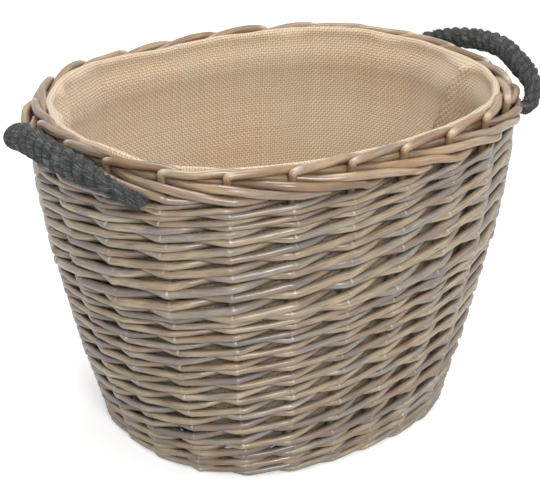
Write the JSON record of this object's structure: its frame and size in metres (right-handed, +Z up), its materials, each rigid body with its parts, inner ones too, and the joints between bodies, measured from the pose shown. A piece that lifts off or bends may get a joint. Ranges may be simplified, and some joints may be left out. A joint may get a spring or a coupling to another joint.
{
  "type": "log carrier basket",
  "caption": "Oval tapered willow log basket with a plaited border, a hessian liner and a rope handle at each end.",
  "frame": {"origin": "on the floor under the middle of the basket, which is also the bottom centre of its bounding box", "axes": "+Z is up, the long axis with a handle at each end is X, and the front in the picture is -Y"},
  "size_m": [0.6762, 0.4898, 0.4264],
  "materials": {
    "border_willow": "satin",
    "wale_willow": "satin",
    "base_willow": "matt",
    "hessian": "coarse woven jute",
    "charcoal_rope": "fuzzy laid rope"
  },
  "bodies": {
    "basket": {"stake_01": "border_willow", "stake_02": "border_willow", "stake_03": "border_willow", "stake_04": "border_willow", "stake_05": "border_willow", "stake_06": "border_willow", "stake_07": "border_willow", "stake_08": "border_willow", "stake_09": "border_willow", "stake_10": "border_willow", "stake_11": "border_willow", "stake_12": "border_willow", "stake_13": "border_willow", "stake_14": "border_willow", "stake_15": "border_willow", "stake_16": "border_willow", "stake_17": "border_willow", "stake_18": "border_willow", "stake_19": "border_willow", "stake_20": "border_willow", "stake_21": "border_willow", "stake_22": "border_willow", "stake_23": "border_willow", "stake_24": "border_willow", "upsett_rod_1": "wale_willow", "upsett_rod_2": "wale_willow", "upsett_rod_3": "wale_willow", "lower_wale_rod_1": "wale_willow", "lower_wale_rod_2": "wale_willow", "lower_wale_rod_3": "wale_willow", "upper_wale_rod_1": "wale_willow", "upper_wale_rod_2": "wale_willow", "upper_wale_rod_3": "wale_willow", "top_wale_rod_1": "wale_willow", "top_wale_rod_2": "wale_willow", "top_wale_rod_3": "wale_willow", "base_cross_stick_1": "base_willow", "base_cross_stick_2": "base_willow", "base_cross_stick_3": "base_willow", "base_cross_stick_4": "base_willow", "base_cross_stick_5": "base_willow", "base_cross_stick_6": "base_willow", "base_cross_stick_7": "base_willow", "base_long_stick_1": "base_willow", "base_long_stick_2": "base_willow", "base_long_stick_3": "base_willow", "base_long_stick_4": "base_willow", "base_long_stick_5": "base_willow", "base_rod_1": "wale_willow", "base_rod_2": "wale_willow", "left_rope_tail_first": "charcoal_rope", "left_rope_tail_second": "charcoal_rope", "right_rope_tail_first": "charcoal_rope", "right_rope_tail_second": "charcoal_rope", "hessian_liner": "hessian"},
    "left_handle": {"left_handle_rope": "charcoal_rope"},
    "right_handle": {"right_handle_rope": "charcoal_rope"}
  },
  "joints": [
    {"name": "left_handle_swing", "type": "hinge", "parent": "basket", "child": "left_handle", "pos_m": [-0.27849, 0, 0.37771], "axis": [0, 1, 0], "range_deg": [-94, 9]},
    {"name": "right_handle_swing", "type": "hinge", "parent": "basket", "child": "right_handle", "pos_m": [0.27606, -0.03152, 0.37771], "axis": [-0.1356, -0.9908, 0], "range_deg": [-95, 8]}
  ]
}
